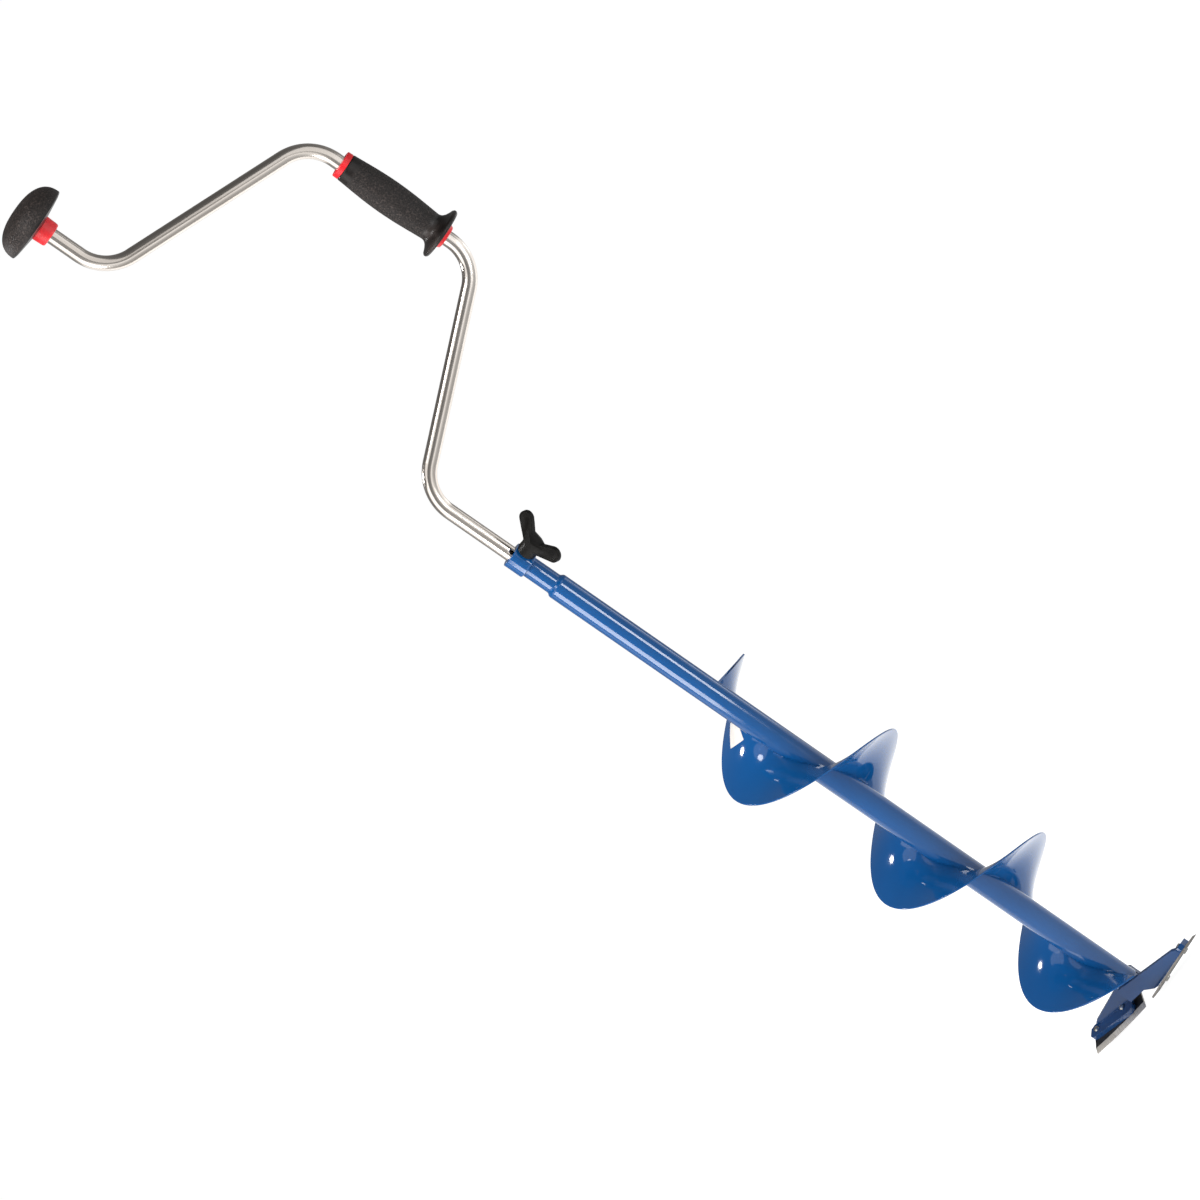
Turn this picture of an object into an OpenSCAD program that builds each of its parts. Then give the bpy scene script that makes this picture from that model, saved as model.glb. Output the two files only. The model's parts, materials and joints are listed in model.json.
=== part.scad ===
// Hand-cranked ice auger with a telescoping crank and a two-blade cutting head.
// Millimetres. +Z runs up the drill axis from the blade points to the palm knob,
// +X points to the side that the crank's grip is on. The origin is on the drill
// axis, level with the lowest point of the blades.

/* [Drill tube] */
// Outside diameter of the drill tube
tube_d = 25; // [22:0.5:32]
// Wall of the drill tube
tube_wall = 1.5; // [1.2:0.1:2]
// Height of the tube's lower end
tube_bottom_z = 29.5; // [28:0.5:34]
// Height of the top of the socket
socket_top_z = 744.4; // [700:1:800]
// Outside diameter of the swaged neck
neck_d = 20.3; // [19.5:0.1:21.5]
// Length of the swaged neck, from the swage to the top
neck_l = 47; // [40:1:60]
// Length of the collar round the top of the neck
collar_l = 20; // [16:1:26]

/* [Flighting] */
// Outside diameter of the flighting
flight_d = 141; // [130:1:150]
// Rise of the flighting in one turn
flight_pitch = 173.7; // [150:0.1:190]
// Thickness of the flighting sheet
flight_t = 2.2; // [1.8:0.1:4]
// Height of the middle of the sheet at its lower end
flight_z0 = 43.9; // [42:0.1:50]
// Direction of the sheet's lower end, from +X, seen from above
flight_start_deg = 276; // [260:1:280]
// Turns of flighting
flight_turns = 2.635; // [2:0.005:2.8]

/* [Cutting head] */
// Diameter of the hole that the blades cut
cut_d = 156; // [150:1:160]
// Distance of a blade's inner point from the drill axis
blade_r0 = 10.4; // [8:0.1:14]
// Direction of the first blade's cutting edge, from +X, seen from above
head_deg = 160.6; // [0:0.1:360]
// Width of a blade
blade_w = 30; // [26:1:32]
// Thickness of a blade
blade_t = 2; // [2:0.5:4]
// Slope of a blade, down towards its cutting edge
blade_tilt = 14; // [10:0.5:20]
// Rise of a cutting edge, outwards
blade_rise = 6; // [0:0.5:8]
// Thickness of the arms' plate
arm_t = 5; // [4:0.5:6]

/* [Crank] */
// Outside diameter of the crank tube
crank_d = 15; // [14:0.5:16]
// Wall of the crank tube
crank_wall = 1.5; // [1.2:0.1:2]
// Distance from the drill axis to the grip's axis
crank_throw = 207; // [180:1:220]
// Radius of the bends, at the middle of the tube
bend_r = 43.5; // [35:0.5:50]
// Angle that each bend turns through
bend_deg = 67.5; // [60:0.5:75]
// Straight length of tube under the grip
grip_run = 130.5; // [128:0.5:145]
// Height of the lowest bend's start
shank_top_z = 815; // [813:1:830]
// Height of the crank tube's lower end, inside the drill tube
shank_bottom_z = 540; // [500:1:560]

/* [Clamp screw] */
// Direction of the clamp screw, from +X, seen from above
clamp_deg = -45; // [-180:1:180]
// Turn of the wings about the screw, from upright
wing_turn = 27; // [-90:1:90]
// Thread diameter of the clamp screw
clamp_d = 8; // [6:1:8]

/* [Hidden] */

tube_r = tube_d / 2;
tube_ri = tube_r - tube_wall;
neck_r = neck_d / 2;
neck_bottom_z = socket_top_z - neck_l;
swage_l = 4.5;
crank_r = crank_d / 2;
crank_ri = crank_r - crank_wall;
run_clear = 0.07;
neck_ri = crank_r + run_clear;

flight_r = flight_d / 2;
flight_sweep = flight_turns * 360;
section_sweep = flight_sweep / 3;
weld_bite = 0.3;

cut_r = cut_d / 2;
blade_l = (cut_r - blade_r0) / cos(blade_rise);
edge_bulge = 1.6;
edge_r = blade_l * blade_l / (8 * edge_bulge) + edge_bulge / 2;
bevel_w = 7;
edge_land = 0.3;
screw_r = 3;
screw_clear_r = 3.2;
// Blade screws: distance along the cutting edge, and back from it
screw_sites = [[22, 19.5], [56, 23.5]];
web_deg = 10.5;
web_gap = 0.15;
web_in = tube_r + web_gap;

bend_draw = 0.03;
bend_lap = 0.4;
bend_x = bend_r * (1 - cos(bend_deg));
bend_z = bend_r * sin(bend_deg);
slant_l = (crank_throw - 2 * bend_x) / sin(bend_deg);
step_z = 2 * bend_z + slant_l * cos(bend_deg);
grip_run_z = shank_top_z + step_z;
upper_step_z = grip_run_z + grip_run;
top_run_z = upper_step_z + step_z;
top_run_l = 54;
crank_top_z = top_run_z + top_run_l;
locating_hole_r = 2.5;
locating_hole_z = socket_top_z + 1.5;
locating_hole_deg = -76;

grip_z = grip_run_z + 4.1;
grip_l = 120;
grip_ri = 10.5;
bush_l = 28;
flange_r = 25.5;

knob_rim_z = crank_top_z - 6.5;
knob_r = 37.5;
knob_h = 24;
knob_power = 2.5;
knob_core_r = 12;
knob_bush_bottom_z = knob_rim_z - 16.5;
ring_z = crank_top_z - 5.5;
ring_t = 1.2;

clamp_z = socket_top_z - 8.8;
clamp_r = clamp_d / 2;
tip_face = crank_r + 0.1;
stud_end = 9.6;
hub_start = 15;
hub_end = 33.5;
hub_r = 9.6;
wing_reach = 41;
wing_half = 21.5;
wing_t = 5.5;

blue = "royalblue";
red = "crimson";
black = "#202022";
zinc = "silver";

// Height of the middle of the flighting sheet at angle a past its lower end
function flight_z(a) = flight_z0 + a * flight_pitch / 360;
function flight_dir(a) = flight_start_deg - a;
// A point of the flighting: angle past the lower end, radius, height over the middle of the sheet
function flight_pt(a, r, h) = [
    r * cos(flight_dir(a)), r * sin(flight_dir(a)), flight_z(a) + h];

// A sheet on the flighting, over a grid of steps and spans. f(t, u) gives the angle and
// the radius at t along it and u across it, both 0 to 1; h0 and h1 are its two faces.
module flight_sheet(f, h0, h1, steps, spans) {
    row = 2 * (spans + 1);
    pts = [for (i = [0:steps]) each concat(
        [for (k = [0:spans]) let (q = f(i / steps, k / spans)) flight_pt(q[0], q[1], h0)],
        [for (k = [spans:-1:0]) let (q = f(i / steps, k / spans)) flight_pt(q[0], q[1], h1)])];
    sides = [for (i = [0:steps - 1], k = [0:row - 1]) let (b = row * i, n = (k + 1) % row)
        each [[b + k, b + n, b + row + n], [b + k, b + row + n, b + row + k]]];
    last = row * steps;
    caps = [for (k = [0:spans - 1]) let (m = row - 1 - k)
        each [[m, k + 1, k], [m, m - 1, k + 1],
            [last + k, last + k + 1, last + m], [last + k + 1, last + m - 1, last + m]]];
    polyhedron(points = pts, faces = concat(sides, caps), convexity = 10);
}

// The top end of the sheet runs on by top_sweep beside the tube
module flight_section(i) {
    a0 = i * section_sweep;
    top_sweep = i == 2 ? 26 : 0;
    r0 = tube_r - weld_bite;
    grid = function(t, u) [
        a0 + t * section_sweep + max(0, 3 * t - 2) * (1 - u) * top_sweep, r0 + (flight_r - r0) * u];
    color(blue)
    flight_sheet(grid, -flight_t / 2, flight_t / 2, 44, 4);
}

module ring(r_out, r_in, h) {
    difference() {
        cylinder(h = h, r = r_out, $fn = 96);
        translate([0, 0, -1]) cylinder(h = h + 2, r = r_in, $fn = 96);
    }
}

// Along the clamp screw's axis, which leaves the drill axis at clamp_deg
module on_clamp() {
    translate([0, 0, clamp_z]) rotate([0, 0, clamp_deg]) rotate([0, 90, 0]) children();
}

module auger_tube() {
    color(blue)
    difference() {
        rotate_extrude($fn = 96)
        polygon([
            [tube_ri, tube_bottom_z], [tube_r, tube_bottom_z],
            [tube_r, neck_bottom_z - swage_l], [neck_r, neck_bottom_z],
            [neck_r, socket_top_z], [neck_ri, socket_top_z],
            [neck_ri, neck_bottom_z], [tube_ri, neck_bottom_z - swage_l]]);
        on_clamp() cylinder(h = tube_d, r = clamp_r + 0.2, $fn = 64);
    }
}

module socket_collar() {
    color(blue)
    difference() {
        translate([0, 0, socket_top_z - collar_l]) ring(tube_r, neck_r, collar_l);
        on_clamp() cylinder(h = tube_d, r = clamp_r + 0.03, $fn = 64);
    }
}

module tube_end_plug() {
    plug_l = 10;
    color(black)
    translate([0, 0, tube_bottom_z + 0.5]) cylinder(h = plug_l, r = tube_ri, $fn = 96);
}

// Blank label, stuck on the upper face of the top turn
module flight_label() {
    label_a = 862;
    label_sweep = 25;
    label_r = 27;
    label_w = 24;
    grid = function(t, u) [label_a + 4 * u + label_sweep * t, label_r + label_w * u];
    color("white")
    flight_sheet(grid, flight_t / 2, flight_t / 2 + 0.25, 6, 4);
}

// The two halves of the head: a is the first blade's side, b the opposite one
module head_side(i) {
    rotate([0, 0, head_deg + 180 * i]) children();
}

// In the plane of a blade's underside: x along its edge, -y back from the edge
module on_blade() {
    translate([blade_r0, 0, 0]) rotate([0, -blade_rise, 0]) rotate([-blade_tilt, 0, 0]) children();
}

module blade_outline() {
    back_cut = 5;
    corner = 3;
    polygon([
        [0, edge_bulge], [blade_l, edge_bulge],
        [blade_l - back_cut, -blade_w + corner], [blade_l - back_cut - corner, -blade_w],
        [corner, -blade_w], [0, -blade_w + corner]]);
}

module blade(i) {
    color("#2a2a2c")
    head_side(i) on_blade()
    difference() {
        intersection() {
            linear_extrude(height = blade_t) blade_outline();
            translate([blade_l / 2, edge_bulge - edge_r, 0]) {
                cylinder(h = edge_land, r = edge_r, $fn = 720);
                translate([0, 0, edge_land])
                cylinder(h = blade_t - edge_land, r1 = edge_r, r2 = edge_r - bevel_w, $fn = 720);
            }
        }
        for (s = screw_sites)
            translate([s[0], -s[1], -1]) cylinder(h = blade_t + 2, r = screw_clear_r, $fn = 48);
    }
}

// Blade seat: a plate over the blade, whose back edge runs into the web
module arm_seat() {
    difference() {
        translate([0, 0, blade_t])
        linear_extrude(height = arm_t)
        polygon([
            [10, -12], [10.5, -9], [12.5, -6.5], [15.5, -5.2], [19, -5.5],
            [60, -15.5], [63.5, -17.5], [65, -21], [62, -30], [57, -31.8],
            [49, -30.3], [12, -23.2], [10, -20]]);
        for (s = screw_sites)
            translate([s[0], -s[1], 0]) cylinder(h = 20, r = screw_r + 0.02, $fn = 48);
    }
}

// Upright web: a plate that lies along the side of the drill tube
module arm_web() {
    rotate([0, 0, -web_deg])
    translate([0, -web_in, 0])
    rotate([90, 0, 0])
    linear_extrude(height = arm_t)
    polygon([
        [-6.5, 18.5], [-6.5, 33.6], [-4.5, 35.3], [63, 22.6], [67, 20.2],
        [67, 15.4], [24, 9.5], [20, 10.4], [12, 17]]);
}

module cutter_arm(i) {
    color(blue)
    head_side(i) {
        on_blade() arm_seat();
        arm_web();
    }
}

// Cross plate under the tube's end, between the two webs
module hub_bridge() {
    bridge_w = 12;
    color(blue)
    head_side(0) rotate([0, 0, -web_deg])
    translate([-bridge_w / 2, -web_in, 19.5]) cube([bridge_w, 2 * web_in, tube_bottom_z - 19.5]);
}

module at_screws() {
    for (i = [0, 1], s = screw_sites)
        head_side(i) on_blade() translate([s[0], -s[1], 0]) children();
}

module blade_screws() {
    head_h = 1.9;
    head_r = 4.2;
    slot_w = 1.1;
    color(zinc)
    at_screws()
    difference() {
        union() {
            translate([0, 0, -head_h]) cylinder(h = head_h, r1 = head_r - 0.9, r2 = head_r, $fn = 64);
            cylinder(h = blade_t + arm_t + 1.8, r = screw_r, $fn = 48);
        }
        translate([-head_r, -slot_w / 2, -head_h - 1]) cube([2 * head_r, slot_w, 2]);
    }
}

// A straight length of the crank tube, which reaches a little way into the bend at each end
module crank_straight(l) {
    translate([0, 0, -bend_lap]) ring(crank_r, crank_ri, l + 2 * bend_lap);
}

// One bend of the crank tube, from the origin's height, turning towards +X. Bending draws
// its wall a little thinner than the straight lengths'.
module crank_bend() {
    translate([bend_r, 0, 0])
    rotate([90, 0, 180]) rotate_extrude(angle = bend_deg, $fn = 180)
    translate([bend_r, 0])
    difference() {
        circle(r = crank_r - bend_draw, $fn = 64);
        circle(r = crank_ri + bend_draw, $fn = 64);
    }
}

// One S-shaped step of the crank: bend, slant and bend back, starting at the origin
module crank_step() {
    crank_bend();
    translate([bend_x, 0, bend_z]) rotate([0, bend_deg, 0]) crank_straight(slant_l);
    translate([crank_throw, 0, step_z]) rotate([0, 180, 0]) crank_bend();
}

module crank_tube() {
    color(zinc)
    union() {
        difference() {
            translate([0, 0, shank_bottom_z])
            ring(crank_r, crank_ri, shank_top_z - shank_bottom_z + bend_lap);
            translate([0, 0, locating_hole_z]) rotate([0, 0, locating_hole_deg]) rotate([0, 90, 0])
            cylinder(h = crank_d, r = locating_hole_r, $fn = 48);
        }
        translate([0, 0, shank_top_z]) crank_step();
        translate([crank_throw, 0, grip_run_z]) crank_straight(grip_run);
        translate([crank_throw, 0, upper_step_z]) rotate([0, 0, 180]) crank_step();
        translate([0, 0, top_run_z - bend_lap]) ring(crank_r, crank_ri, top_run_l + bend_lap);
    }
}

module crank_end_plug() {
    plug_l = 12;
    plug_head = 1.5;
    color(zinc)
    union() {
        translate([0, 0, crank_top_z - plug_l]) cylinder(h = plug_l, r = crank_ri, $fn = 64);
        translate([0, 0, crank_top_z]) cylinder(h = plug_head, r = crank_r - 0.3, $fn = 64);
    }
}

module knob_retaining_ring() {
    color(zinc)
    translate([0, 0, ring_z]) ring(crank_r + 2.5, crank_r, ring_t);
}

// Red flanged bush, z = 0 at its outer end and the flange below the sleeve
module grip_bush(flange_l, r_end, r_in) {
    color(red)
    rotate_extrude($fn = 96)
    polygon([
        [crank_r + run_clear, 0], [r_end - 0.6, 0], [r_end, 0.6], [r_in, flange_l],
        [grip_ri, flange_l], [grip_ri, bush_l], [crank_r + run_clear, bush_l]]);
}

module grip_bush_lower() {
    translate([crank_throw, 0, grip_z]) grip_bush(4.5, 11, 13.2);
}

module grip_bush_upper() {
    translate([crank_throw, 0, grip_z + grip_l]) mirror([0, 0, 1]) grip_bush(5.5, 13.4, 13.5);
}

// Moulded grip: a barrel that is fullest halfway, with a thumb flange at its lower end
module grip_sleeve() {
    z0 = 4.5;
    z1 = grip_l - 5.5;
    flare_z = 19;
    neck = 13.9;
    swell = 2.6;
    flare = [for (i = [0:8]) let (t = i / 8)
        [neck + (flange_r - 2 - neck) * pow(1 - t, 2.6), 9.5 + (flare_z - 9.5) * t]];
    barrel = [for (i = [1:14]) let (t = i / 14)
        [neck - 0.2 * t + swell * pow(sin(180 * t), 1.1), flare_z + (z1 - 1.2 - flare_z) * t]];
    color(black)
    translate([crank_throw, 0, grip_z])
    rotate_extrude($fn = 96)
    polygon(concat(
        [[grip_ri, z0], [flange_r - 1.5, z0], [flange_r, z0 + 1.5], [flange_r, z0 + 3.5],
            [flange_r - 0.8, z0 + 4.6]],
        flare, barrel, [[12.9, z1], [grip_ri, z1]]));
}

module knob_profile() {
    function round_to(t) = pow(t, 2 / knob_power);
    polygon(concat(
        [[knob_core_r, 0], [knob_core_r, -3.5], [knob_core_r + 4, -3.2], [knob_r - 4, -0.8]],
        [for (a = [0:6:90]) [knob_r * round_to(cos(a)), 0.8 + knob_h * round_to(sin(a))]],
        [[0, crank_top_z + 2.7 - knob_rim_z], [knob_core_r, crank_top_z + 2.7 - knob_rim_z]]));
}

module palm_pad() {
    color(black)
    translate([0, 0, knob_rim_z]) rotate_extrude($fn = 96) knob_profile();
}

module knob_bush() {
    sleeve_top_z = ring_z - 0.3;
    color(red)
    rotate_extrude($fn = 96)
    polygon([
        [crank_r + run_clear, knob_bush_bottom_z], [11.3, knob_bush_bottom_z],
        [12, knob_bush_bottom_z + 0.7], [12.5, knob_rim_z - 3.6],
        [knob_core_r, knob_rim_z - 3.6], [knob_core_r, sleeve_top_z],
        [crank_r + run_clear, sleeve_top_z]]);
}

module thrust_washer() {
    washer_z = crank_top_z + 1.6;
    color(zinc)
    translate([0, 0, washer_z]) cylinder(h = 1, r = knob_core_r - 0.5, $fn = 96);
}

module clamp_tip() {
    color("goldenrod")
    on_clamp() {
        translate([0, 0, tip_face]) cylinder(h = stud_end - tip_face - 0.05, r = 3.3, $fn = 48);
        translate([0, 0, stud_end - 0.1]) cylinder(h = 3, r = 1.5, $fn = 48);
    }
}

module clamp_stud() {
    head_l = 5;
    color(zinc)
    on_clamp()
    difference() {
        union() {
            translate([0, 0, stud_end]) cylinder(h = hub_end - 8 - stud_end, r = clamp_r - 0.03, $fn = 64);
            translate([0, 0, hub_end - 8]) cylinder(h = head_l, r = 6.5, $fn = 6);
        }
        translate([0, 0, stud_end - 1]) cylinder(h = 5, r = 1.57, $fn = 48);
    }
}

// One wing: a flat ear that leans out from the hub, with a round end
module wing() {
    hull() {
        translate([0, 5, 27]) rotate([0, 90, 0]) cylinder(h = wing_t + 1, r = 5.5, center = true, $fn = 32);
        translate([0, wing_half, wing_reach]) rotate([0, 90, 0])
        cylinder(h = wing_t, r = 7.5, center = true, $fn = 40);
    }
}

// The hub's outer end, which narrows and spreads into the roots of the two wings
module wing_roots() {
    hull() {
        translate([0, 0, hub_end - 9]) cylinder(h = 3, r = hub_r, $fn = 64);
        translate([0, 0, hub_end - 1]) cylinder(h = 1, r = hub_r - 2, $fn = 64);
        for (y = [-9.5, 9.5])
            translate([0, y, hub_end - 1.5]) rotate([0, 90, 0])
            cylinder(h = wing_t + 1.5, r = 4, center = true, $fn = 32);
    }
}

module wing_knob() {
    color(black)
    on_clamp() rotate([0, 0, 90 - wing_turn])
    difference() {
        union() {
            translate([0, 0, hub_start]) cylinder(h = hub_end - 8 - hub_start, r = hub_r, $fn = 64);
            wing_roots();
            wing();
            mirror([0, 1, 0]) wing();
        }
        translate([0, 0, hub_start - 1]) cylinder(h = hub_end - 7 - hub_start, r = clamp_r - 0.03, $fn = 64);
        rotate([0, 0, wing_turn - 90])
        translate([0, 0, hub_end - 8]) cylinder(h = 5, r = 6.5, $fn = 6);
    }
}

auger_tube();
socket_collar();
tube_end_plug();
flight_section(0);  // flight_lower
flight_section(1);  // flight_middle
flight_section(2);  // flight_upper
flight_label();
cutter_arm(0);  // cutter_arm_a
cutter_arm(1);  // cutter_arm_b
hub_bridge();
blade(0);  // blade_a
blade(1);  // blade_b
blade_screws();
crank_tube();
crank_end_plug();
knob_retaining_ring();
grip_sleeve();
grip_bush_upper();
grip_bush_lower();
palm_pad();
knob_bush();
thrust_washer();
clamp_tip();
clamp_stud();
wing_knob();
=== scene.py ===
"""Hand ice auger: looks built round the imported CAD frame. Metres, +Z up the drill axis."""
import json
import math

import bmesh
import bpy
import numpy as np
from mathutils import Matrix, Vector


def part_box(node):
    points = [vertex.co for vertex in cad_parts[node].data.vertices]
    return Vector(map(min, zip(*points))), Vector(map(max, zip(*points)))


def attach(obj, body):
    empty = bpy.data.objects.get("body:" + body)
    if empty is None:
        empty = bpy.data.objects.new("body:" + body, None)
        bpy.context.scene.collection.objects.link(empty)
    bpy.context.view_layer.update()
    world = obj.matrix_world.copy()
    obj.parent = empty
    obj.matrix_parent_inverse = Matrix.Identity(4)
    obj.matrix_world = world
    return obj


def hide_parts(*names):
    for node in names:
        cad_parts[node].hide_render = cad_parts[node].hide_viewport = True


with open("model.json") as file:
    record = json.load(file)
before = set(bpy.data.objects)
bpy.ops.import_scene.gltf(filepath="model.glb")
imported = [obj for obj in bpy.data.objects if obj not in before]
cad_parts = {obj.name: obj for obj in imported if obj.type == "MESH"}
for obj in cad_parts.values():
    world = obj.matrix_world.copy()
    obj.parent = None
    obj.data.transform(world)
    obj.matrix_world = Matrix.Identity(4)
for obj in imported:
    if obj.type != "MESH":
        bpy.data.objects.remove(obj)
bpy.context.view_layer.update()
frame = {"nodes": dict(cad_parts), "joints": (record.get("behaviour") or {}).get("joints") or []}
MM = 0.001
JOINTS = {j["name"]: j for j in frame["joints"]}


# ---------------------------------------------------------------- camera
AIM = Vector((0.012, 0.0, 0.6513))
VIEW_AZIMUTH, VIEW_ELEVATION = 0.10, 8.21
VIEW_DISTANCE, VIEW_ROLL = 6.907, 55.28
LENS, SENSOR = 222.03, 36.0


def make_camera():
    az, el, roll = (math.radians(v) for v in (VIEW_AZIMUTH, VIEW_ELEVATION, VIEW_ROLL))
    forward = Vector((math.sin(az) * math.cos(el), math.cos(az) * math.cos(el), -math.sin(el)))
    level = forward.cross(Vector((0, 0, 1))).normalized()
    upright = level.cross(forward)
    right = math.cos(roll) * level - math.sin(roll) * upright
    up = math.cos(roll) * upright + math.sin(roll) * level
    place = AIM - VIEW_DISTANCE * forward
    data = bpy.data.cameras.new("camera")
    data.lens, data.sensor_width = LENS, SENSOR
    data.clip_end = 200.0
    camera = bpy.data.objects.new("camera", data)
    camera.matrix_world = Matrix([
        (right.x, up.x, -forward.x, place.x),
        (right.y, up.y, -forward.y, place.y),
        (right.z, up.z, -forward.z, place.z),
        (0, 0, 0, 1)])
    bpy.context.scene.collection.objects.link(camera)
    bpy.context.scene.camera = camera


# ---------------------------------------------------------------- mesh helpers
SMOOTH_BELOW = math.radians(38)


def finish_mesh(name, bm, material=None, weighted=True):
    """Turns a bmesh into a linked object with smooth faces and sharp edges over SMOOTH_BELOW."""
    bmesh.ops.recalc_face_normals(bm, faces=bm.faces)
    mesh = bpy.data.meshes.new(name)
    bm.to_mesh(mesh)
    bm.free()
    return link_mesh(name, mesh, material, weighted)


def link_mesh(name, mesh, material=None, weighted=True):
    mesh.shade_smooth()
    mesh.set_sharp_from_angle(angle=SMOOTH_BELOW)
    piece = bpy.data.objects.new(name, mesh)
    bpy.context.scene.collection.objects.link(piece)
    if weighted:
        even = piece.modifiers.new("even_normals", "WEIGHTED_NORMAL")
        even.keep_sharp = True
    if material:
        mesh.materials.clear()
        mesh.materials.append(material)
    return piece


def grid(name, points, material, wrap_rows=False, wrap_cols=False, cap=False, along=None, around=None):
    """A surface through a rows x cols array of points. along and around are attributes of its points."""
    rows, cols = points.shape[:2]
    bm = bmesh.new()
    given = [(key, values) for key, values in (("along", along), ("around", around)) if values is not None]
    for key, _ in given:
        bm.verts.layers.float.new(key)
    verts = [bm.verts.new(p) for p in points.reshape(-1, 3)]
    for key, values in given:
        layer = bm.verts.layers.float[key]
        for v, value in zip(verts, np.asarray(values).reshape(-1)):
            v[layer] = float(value)
    for i in range(rows if wrap_rows else rows - 1):
        for k in range(cols if wrap_cols else cols - 1):
            i2, k2 = (i + 1) % rows, (k + 1) % cols
            quad = [verts[i * cols + k], verts[i * cols + k2], verts[i2 * cols + k2], verts[i2 * cols + k]]
            bm.faces.new(quad)
    if cap:
        bm.faces.new(verts[:cols])
        bm.faces.new(verts[-cols:][::-1])
    bmesh.ops.remove_doubles(bm, verts=bm.verts, dist=1e-7)
    return finish_mesh(name, bm, material)


def eased(points, steps=4):
    """Rounds a chain of (x, y) or (x, y, radius) corners; the first and last stay as they are."""
    flat = [Vector(p[:2]) for p in points]
    out = []
    for i, p in enumerate(points):
        radius = p[2] if len(p) > 2 else 0
        if radius <= 0 or i in (0, len(points) - 1):
            out.append(tuple(flat[i]))
            continue
        before, here, after = flat[i - 1], flat[i], flat[i + 1]
        a, b = (before - here).normalized(), (after - here).normalized()
        half = a.angle(b) / 2
        reach = radius / math.tan(half)
        reach = min(reach, 0.45 * (before - here).length, 0.45 * (after - here).length)
        radius = reach * math.tan(half)
        centre = here + (a + b).normalized() * (radius / math.sin(half))
        start, end = here + a * reach - centre, here + b * reach - centre
        turn = start.angle_signed(end)
        for k in range(steps + 1):
            c, s = math.cos(-turn * k / steps), math.sin(-turn * k / steps)
            out.append((centre.x + start.x * c - start.y * s, centre.y + start.x * s + start.y * c))
    return out


def lathe(name, outline, material, centre=(0, 0), segments=96, closed=True, place=None, sway=None):
    """Turns an outline of (radius, height, rounding) about Z through centre, or about place's own Z."""
    chain = eased(list(outline) + [outline[0]])[:-1] if closed else eased(outline)
    angles = np.arange(segments) * 2 * math.pi / segments
    r = np.array([c[0] for c in chain])
    z = np.array([c[1] for c in chain])
    pts = np.zeros((segments, len(chain), 3))
    radius = r[None, :] + (sway(angles[:, None], z[None, :]) if sway else 0)
    pts[..., 0] = centre[0] + radius * np.cos(angles)[:, None]
    pts[..., 1] = centre[1] + radius * np.sin(angles)[:, None]
    pts[..., 2] = z[None, :]
    if place is not None:
        turn = np.array(place)
        pts = pts @ turn[:3, :3].T + turn[:3, 3]
    around = np.repeat(angles[:, None], len(chain), 1) * max(r)
    along = np.repeat(z[None, :], segments, 0)
    return grid(name, pts, material, True, closed, along=along, around=around)


def cad_points(node):
    mesh = frame["nodes"][node].data
    co = np.zeros(len(mesh.vertices) * 3)
    mesh.vertices.foreach_get("co", co)
    return co.reshape(-1, 3)


def carve(piece, cutter):
    """Cuts one mesh out of another and removes the cutter."""
    cut = piece.modifiers.new("cut", "BOOLEAN")
    cut.operation, cut.object, cut.solver = "DIFFERENCE", cutter, "EXACT"
    piece.modifiers.move(len(piece.modifiers) - 1, 0)
    bpy.context.view_layer.update()
    graph = bpy.context.evaluated_depsgraph_get()
    made = bpy.data.meshes.new_from_object(piece.evaluated_get(graph))
    piece.modifiers.clear()
    piece.data = made
    bpy.data.objects.remove(cutter)
    return piece


def from_cad(name, node, material, edge, segments=3):
    """A copy of a flat-sided CAD node with its sharp edges rounded."""
    bm = bmesh.new()
    bm.from_mesh(frame["nodes"][node].data)
    bmesh.ops.remove_doubles(bm, verts=bm.verts, dist=1e-6)
    bmesh.ops.dissolve_limit(bm, angle_limit=math.radians(0.6), verts=bm.verts, edges=bm.edges)
    piece = finish_mesh(name, bm, material)
    round_off = piece.modifiers.new("edges", "BEVEL")
    round_off.width, round_off.segments = edge, segments
    round_off.limit_method, round_off.angle_limit = "ANGLE", math.radians(30)
    piece.modifiers.move(1, 0)
    return piece


def place_on(piece, body, slot, *nodes):
    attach(piece, body)
    if nodes:
        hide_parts(*nodes)
    return piece


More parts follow.
